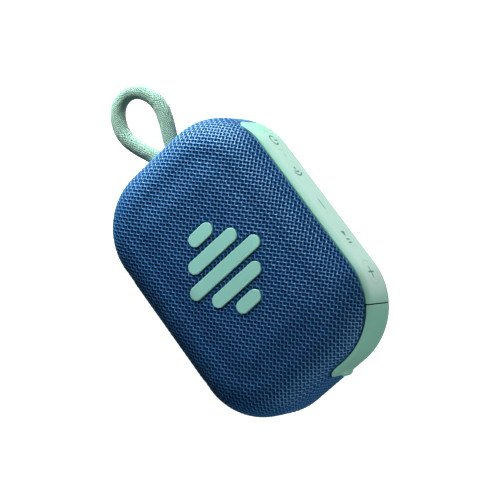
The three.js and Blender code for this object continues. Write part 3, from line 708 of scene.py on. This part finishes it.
def cloth():
    """The sleeve in two halves that meet at the middle, with openings for all that is set into it."""
    band_arc = arc_at(BAND_HALF + SLIT)
    bezel_arc = arc_at(BEZEL[0] + TRIM_GAP)
    foot_arc = arc_at(FOOT[1] + TRIM_GAP)
    middle = (BAND_START + FLAP_END) / 2
    half = (FLAP_END - BAND_START) / 2 + SLIT

    def band(u, v):
        s = outline_place(u, v)
        far = ARC_END + 10
        centre = (band_arc + far) / 2
        return rounded_box(s - middle, face_distance(u, v) - centre, half, far - centre, END_ROUND)

    def bezel(u, v):
        return np.maximum(bezel_arc - face_distance(u, v), np.maximum(np.abs(v) - BEZEL[1] - TRIM_GAP, u))

    def foot(u, v):
        return np.maximum(foot_arc - face_distance(u, v), np.maximum(np.abs(u) - FOOT[0] - TRIM_GAP, v))

    def bars(u, v):
        room = 0.7
        return either(*(stadium(u - x, v, BAR_WIDTH + room, tall + room) for x, tall in BADGE_BARS))

    def front(u, v):
        return without(face_distance(u, v) - ARC_END, band(u, v), bezel(u, v), foot(u, v), bars(u, v))

    def plate(u, v):
        return rounded_box(u, v, *(size + TRIM_GAP for size in PLATE))

    def back(u, v):
        return without(face_distance(u, v) - ARC_END, band(u, v), bezel(u, v), foot(u, v), plate(u, v))

    def tucked(*openings):
        """The knit's depth, with the cloth pulled down into the slit round each opening."""

        def relief(u, v):
            near = np.clip(1 - either(*(opening(u, v) for opening in openings)) / TUCK, 0, 1)
            return knit_relief(u, v) * (1 - near) + TUCK_DEPTH * near * near

        return relief

    step = (KNIT_PITCH / 8, KNIT_ROW / 4)
    reach_u = math.ceil((FACE_X + ARC_END) / step[0] + 1) * step[0]
    reach_v = math.ceil((FACE_Z + ARC_END) / step[1] + 1) * step[1]
    sides = (
        ("cloth_front", front, wrap_front, tucked(band, bars)),
        ("cloth_back", back, wrap_back, tucked(band, plate)),
    )
    for name, drawing, place, relief in sides:
        panel(
            name,
            LOOKS["cloth"],
            drawing,
            place,
            (-reach_u, reach_u, -reach_v, reach_v),
            step,
            thick=1.5,
            fillet=0.35,
            relief=relief,
            closed=False,
            stands_for=("speaker_cloth",),
            knit=knit_place,
        )


# ------------------------------------------------------------------ control band, buttons and flap
def strip(s, y, start, end, start_round, end_round):
    """Distance to a strip along the outline, with its own corner radius at each end."""
    middle, half = (start + end) / 2, (end - start) / 2
    left = rounded_box(s - middle, y, half, BAND_HALF, start_round)
    right = rounded_box(s - middle, y, half, BAND_HALF, end_round)
    return np.where(s < middle, left, right)


def control_band():
    def drawing(s, y):
        windows = [stadium(s - at, y, *WINDOW) for at in BUTTONS.values()]
        led = np.hypot(s - LED_AT, y) - 0.95
        return without(strip(s, y, BAND_START, SEAM - SEAM_HALF, START_ROUND, 0.4), *windows, led)

    panel(
        "band_skin",
        LOOKS["trim"],
        drawing,
        on_outline,
        (BAND_START - 1, SEAM + 1, -BAND_HALF - 1, BAND_HALF + 1),
        step=0.45,
        thick=BAND_THICK,
        fillet=0.06,
        stands_for=("control_band",),
    )


def power_icon(x, y):
    return either(arc_stroke(x, y, 2.6, -90, 138, ICON_LINE), stroke(x, y, (0, 0.9), (0, 3.3), ICON_LINE))


def wireless_icon(x, y):
    dot = np.hypot(x + 2.3, y) - 0.75
    arcs = [arc_stroke(x + 2.3, y, radius, 0, 50, ICON_LINE) for radius in (2.3, 4.3)]
    return either(dot, *arcs)


def minus_icon(x, y):
    return stroke(x, y, (-2.6, 0), (2.6, 0), ICON_LINE)


def plus_icon(x, y):
    return either(minus_icon(x, y), stroke(x, y, (0, -2.6), (0, 2.6), ICON_LINE))


def play_icon(x, y):
    triangle = np.maximum(-(x + 3.4), (x + 3.4) * 0.5 + np.abs(y) * 0.87 - 1.55)
    bars = [stroke(x, y, (at, -1.4), (at, 1.4), ICON_LINE) for at in (1.2, 3.1)]
    return either(triangle, *bars)


ICONS = {
    "power": power_icon,
    "wireless": wireless_icon,
    "minus": minus_icon,
    "play": play_icon,
    "plus": plus_icon,
}


def buttons():
    """Caps that ride on their own bodies, their printed symbols, and the light's window between them."""
    for name, at in BUTTONS.items():
        body = f"button_{name}"
        bent = abs(at) + CAP[0] / 2 > WIDTH / 2 - CORNER
        length = CAP[0] - 2 * CAP_PLAY if bent else CAP[0]
        half_x, half_y = length / 2, CAP[1] / 2
        panel(
            f"cap_{name}",
            LOOKS["trim"],
            lambda s, y: stadium(s - at, y, length, CAP[1]),
            on_outline,
            (at - half_x - 0.6, at + half_x + 0.6, -half_y - 0.6, half_y + 0.6),
            step=0.45,
            thick=1.6,
            fillet=0.06,
            body=body,
            stands_for=(f"button_{name}",),
        )
        panel(
            f"symbol_{name}",
            INK,
            lambda s, y: ICONS[name](s - at, y),
            lambda s, y, depth: on_outline(s, y, depth - SYMBOL_HEIGHT),
            (at - 4.2, at + 4.2, -4.2, 4.2),
            step=0.12,
            thick=0.15,
            fillet=0.03,
            body=body,
        )
    panel(
        "light_window",
        LOOKS["lens"],
        lambda s, y: np.hypot(s - LED_AT, y) - 0.85,
        on_outline,
        (LED_AT - 1.2, LED_AT + 1.2, -1.2, 1.2),
        step=0.15,
        thick=3,
        fillet=0.25,
    )


def port_flap():
    """The flap's skin with its lip and notch, and the grooved plug on its inside."""

    def drawing(s, y):
        shape = strip(s, y, SEAM + SEAM_HALF, FLAP_END, 0.4, END_ROUND)
        return without(shape, stadium(s - FLAP_END - 1.3, y - NOTCH_Y, 4, 1.5))

    def lip(s, y):
        inside = -stadium(s - FLAP_END + 1.6, y - LIP_Y, 4.4, 9.6)
        swell = np.clip(inside / 1.2, 0, 1)
        return -LIP_RAISE * swell * swell * (3 - 2 * swell)

    panel(
        "flap_skin",
        LOOKS["trim"],
        drawing,
        on_outline,
        (SEAM - 1, FLAP_END + 1, -BAND_HALF - 1, BAND_HALF + 1),
        step=0.4,
        thick=1.9,
        fillet=0.15,
        relief=lip,
        body="port_flap",
        stands_for=("port_flap",),
    )
    port_s = WIDTH / 2 - CORNER + CORNER * math.pi / 2 + (HEIGHT / 2 - CORNER) - PORT_Z
    plug_end = 3.7  # depth of the plug's inner face

    def plug(u, v):
        return rounded_box(u, v, 3.3, 4.9, 1.2)

    def plug_side(u, v, depth):
        return on_outline(port_s + v, u, plug_end - depth)

    def groove(u, v):
        return 0.5 * np.clip(1 - np.abs(plug(u, v) + 1.0) / 0.5, 0, 1)

    panel(
        "flap_plug",
        LOOKS["trim"],
        plug,
        plug_side,
        (-4, 4, -6, 6),
        step=0.25,
        thick=1.95,
        fillet=0.35,
        relief=groove,
        body="port_flap",
    )


# ------------------------------------------------------------------ badge, rear, foot, loop slot and port
def badge():
    """A generic level-meter of round-ended bars."""
    for number, (x, tall) in enumerate(BADGE_BARS, 1):
        panel(
            f"badge_bar_{number}",
            LOOKS["badge"],
            lambda u, v: stadium(u, v, BAR_WIDTH, tall),
            lambda u, v, depth: wrap_front(u + x, v, depth - 0.3),
            (-4.2, 4.2, -tall / 2 - 1, tall / 2 + 1),
            step=0.35,
            thick=1.9,
            fillet=0.22,
            stands_for=("badge",),
        )


def rear_plate():
    """The plate with a pocket for each pad and a groove near its edge, and the ringed pads."""

    def relief(u, v):
        pocket = either(*(np.hypot(u - x, v - z) - PAD_RADIUS - 0.25 for x, z in PADS))
        groove = np.abs(rounded_box(u, v, *(size - 3.5 for size in PLATE)))
        return 0.7 * np.clip(-pocket / 0.25 + 0.5, 0, 1) + 0.25 * np.clip(1 - groove / 0.5, 0, 1)

    panel(
        "rear_cover",
        LOOKS["housing"],
        lambda u, v: rounded_box(u, v, *PLATE),
        flat((0, 23.4, MIDDLE), (-1, 0, 0), (0, 0, 1)),
        (-52, 52, -30.5, 30.5),
        step=0.5,
        thick=1.55,
        fillet=0.4,
        relief=relief,
        stands_for=("rear_plate",),
    )
    for number, (x, z) in enumerate(PADS, 1):
        panel(
            f"rear_pad_dome_{number}",
            LOOKS["rubber"],
            lambda u, v: np.hypot(u, v) - PAD_RADIUS,
            flat((x, 24.4, z + MIDDLE), (-1, 0, 0), (0, 0, 1)),
            (-5, 5, -5, 5),
            step=0.35,
            thick=1.55,
            fillet=0.5,
            relief=lambda u, v: 0.12 * (0.5 - 0.5 * np.cos(np.hypot(u, v) * 3.2)),
            stands_for=(f"rear_pad_{number}",),
        )


def base_foot():
    """The sole, with two ribbed rails that reach down to the ground."""

    def inset(v):
        t = np.clip((np.abs(v) - SIDE_FLAT) / (EDGE_DEPTH - SIDE_FLAT), 0, 1)
        return EDGE * (1 - np.sqrt(1 - t * t))

    def under(u, v, depth):
        return np.stack([u, -v, RAIL + inset(v) + depth], 1)

    def rails(u, v):
        inside = -rounded_box(u, np.abs(v) - 8, 30, 2.25, 2.2)
        rise = np.clip(inside / 0.45, 0, 1)
        grip = 0.12 * (0.5 - 0.5 * np.cos(u * math.tau / 2.4))
        return -(RAIL + inset(v)) * rise * rise * (3 - 2 * rise) + grip * rise

    panel(
        "foot_sole",
        LOOKS["rubber"],
        lambda u, v: rounded_box(u, v, *FOOT),
        under,
        (-35, 35, -12, 12),
        step=0.3,
        thick=2.1,
        fillet=0.35,
        relief=rails,
        stands_for=("base_foot",),
    )


def loop_bezel():
    panel(
        "loop_slot_rim",
        LOOKS["housing"],
        lambda u, v: without(rounded_box(u, v, *BEZEL), rounded_box(u, v, 4.25, 8.7, 4.1)),
        flat((-WIDTH / 2 - 0.1, 0, MIDDLE), (0, -1, 0), (0, 0, 1)),
        (-6.5, 6.5, -10.5, 10.5),
        step=0.25,
        thick=4.4,
        fillet=0.3,
        stands_for=("loop_bezel",),
    )


def flap_recess():
    """The channel's floor behind the flap, with a hole for the port."""

    def drawing(s, y):
        _, z, _, nz = outline_at(s)
        half_y, half_z = (size + 0.15 for size in PORT_BLOCK)
        floor = strip(s, y, SEAM - 1.5, FLAP_END + 0.2, 0.4, END_ROUND)
        return without(floor, rounded_box(z - nz * RECESS - PORT_Z, y, half_z, half_y, 1.3))

    panel(
        "flap_recess",
        LOOKS["housing"],
        drawing,
        lambda s, y, depth: on_outline(s, y, depth + RECESS - 0.2),
        (SEAM - 3, FLAP_END + 1, -BAND_HALF - 1, BAND_HALF + 1),
        step=0.4,
        thick=0.7,
        fillet=0.15,
    )


def in_side(u, v, depth):
    """Across and up round the port: from the channel's floor straight into the side."""
    rise = np.maximum(PORT_Z + v - (HEIGHT / 2 - CORNER), 0)
    reach = WIDTH / 2 - CORNER + np.sqrt((CORNER - RECESS) ** 2 - rise * rise)
    return np.stack([reach - depth, u, v + PORT_Z + MIDDLE], 1)


def charging_port():
    """The port's frame and floor, and the socket's shell and tongue in it."""
    facing_right = ((0, 1, 0), (0, 0, 1))
    centre_z = MIDDLE + PORT_Z
    panel(
        "port_frame",
        LOOKS["plastic"],
        lambda u, v: without(rounded_box(u, v, *PORT_BLOCK, 1.2), rounded_box(u, v, 4.5, 7.25, 1.5)),
        in_side,
        (-6.5, 6.5, -9, 9),
        step=0.25,
        thick=7.2,
        fillet=0.3,
        stands_for=("port_well",),
    )
    panel(
        "port_floor",
        LOOKS["plastic"],
        lambda u, v: without(rounded_box(u, v, 4.6, 7.35, 1.5), stadium(u, v, 3.7, 9.4)),
        flat((57.5, 0, centre_z), *facing_right),
        (-5, 5, -8, 8),
        step=0.25,
        thick=1.4,
        fillet=0.15,
    )
    panel(
        "socket_shell",
        LOOKS["steel"],
        lambda u, v: without(stadium(u, v, 3.26, 8.94), stadium(u, v, 2.56, 8.3)),
        flat((57.4, 0, centre_z), *facing_right),
        (-2, 2, -5, 5),
        step=0.12,
        thick=7.2,
        fillet=0.1,
        stands_for=("usb_shell",),
    )
    panel(
        "socket_tongue",
        LOOKS["plastic"],
        lambda u, v: rounded_box(u, v, 0.35, 3.3, 0.15),
        flat((56.4, 0, centre_z), *facing_right),
        (-0.6, 0.6, -3.6, 3.6),
        step=0.1,
        thick=5.4,
        fillet=0.08,
        stands_for=("usb_tongue",),
    )


# ------------------------------------------------------------------ pieces that keep their CAD shape
def dress_cad():
    """Each remaining CAD node takes its slot's material."""
    slots = {part["node"]: part["material_slot"] for part in frame["record"]["subparts"]}
    for name, obj in frame["nodes"].items():
        for place in obj.material_slots:
            place.material = LOOKS[slots[name]]


# ------------------------------------------------------------------ floor, light
def stage():
    """A pale floor and far pale walls, which neither light the speaker nor show in its gloss."""
    m = Nodes("pale_floor")
    tone = m.noise(m.place(), 3.0, 2.0)
    m.link(m.mix(tone, colour(200, 200, 200), colour(206, 206, 206)), m.shader.inputs["Base Color"])
    m.shader.inputs["Emission Color"].default_value = (1, 1, 1, 1)
    m.shader.inputs["Emission Strength"].default_value = 1.0
    m.shader.inputs["Roughness"].default_value = 0.9
    m.shader.inputs["Specular IOR Level"].default_value = 0.0

    size = 6.0  # near enough for every view's far limit
    corners = [(-size, -size), (size, -size), (size, size), (-size, size)]
    low = [(x, y, 0) for x, y in corners]
    high = [(x, y, size) for x, y in corners]
    sides = [(i, i + 4, (i + 1) % 4 + 4, (i + 1) % 4) for i in range(4)]
    for name, points, faces in (("floor", low, [(0, 1, 2, 3)]), ("walls", low + high, sides)):
        mesh = bpy.data.meshes.new(name)
        mesh.from_pydata(points, [], faces)
        mesh.materials.append(m.material)
        obj = bpy.data.objects.new(name, mesh)
        bpy.context.collection.objects.link(obj)
        obj.location.z = -0.0002  # just under the rails
        obj.visible_diffuse = False
        obj.visible_glossy = False
        obj.visible_shadow = name == "floor"
        obj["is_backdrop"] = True


def area_light(name, direction, distance, size, watts):
    """A disk of light that faces the speaker's middle. Distance and size are in metres."""
    light = bpy.data.lights.new(name, "AREA")
    light.shape = "DISK"
    light.size = size
    light.energy = watts
    obj = bpy.data.objects.new(name, light)
    where = Vector(direction).normalized()
    obj.location = where * distance + Vector((0, 0, MIDDLE * MM))
    obj.rotation_mode = "QUATERNION"
    obj.rotation_quaternion = where.to_track_quat("Z", "Y")
    bpy.context.collection.objects.link(obj)


def lighting():
    world = bpy.data.worlds.new("studio")
    world.use_nodes = True
    background = world.node_tree.nodes["Background"]
    background.inputs["Color"].default_value = (1, 1, 1, 1)
    background.inputs["Strength"].default_value = 0.03
    bpy.context.scene.world = world
    area_light("key", (-0.86, -0.33, 0.3), 0.38, 0.25, 4.3)
    area_light("right", (1.0, -0.3, 0.12), 0.8, 0.6, 4.8)
    area_light("front", (0.1, -1.0, 0.3), 1.4, 0.8, 0.15)
    area_light("back", (-0.13, 0.77, 0.63), 1.0, 1.0, 7.4)
    bpy.context.scene.view_settings.view_transform = "Standard"


carry_loop()
cloth()
control_band()
buttons()
port_flap()
badge()
rear_plate()
base_foot()
loop_bezel()
flap_recess()
charging_port()
dress_cad()
stage()
lighting()

boxes = {"cad": cad_box, "visual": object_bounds()}
{key: [list(corner) for corner in pair] for key, pair in boxes.items()}
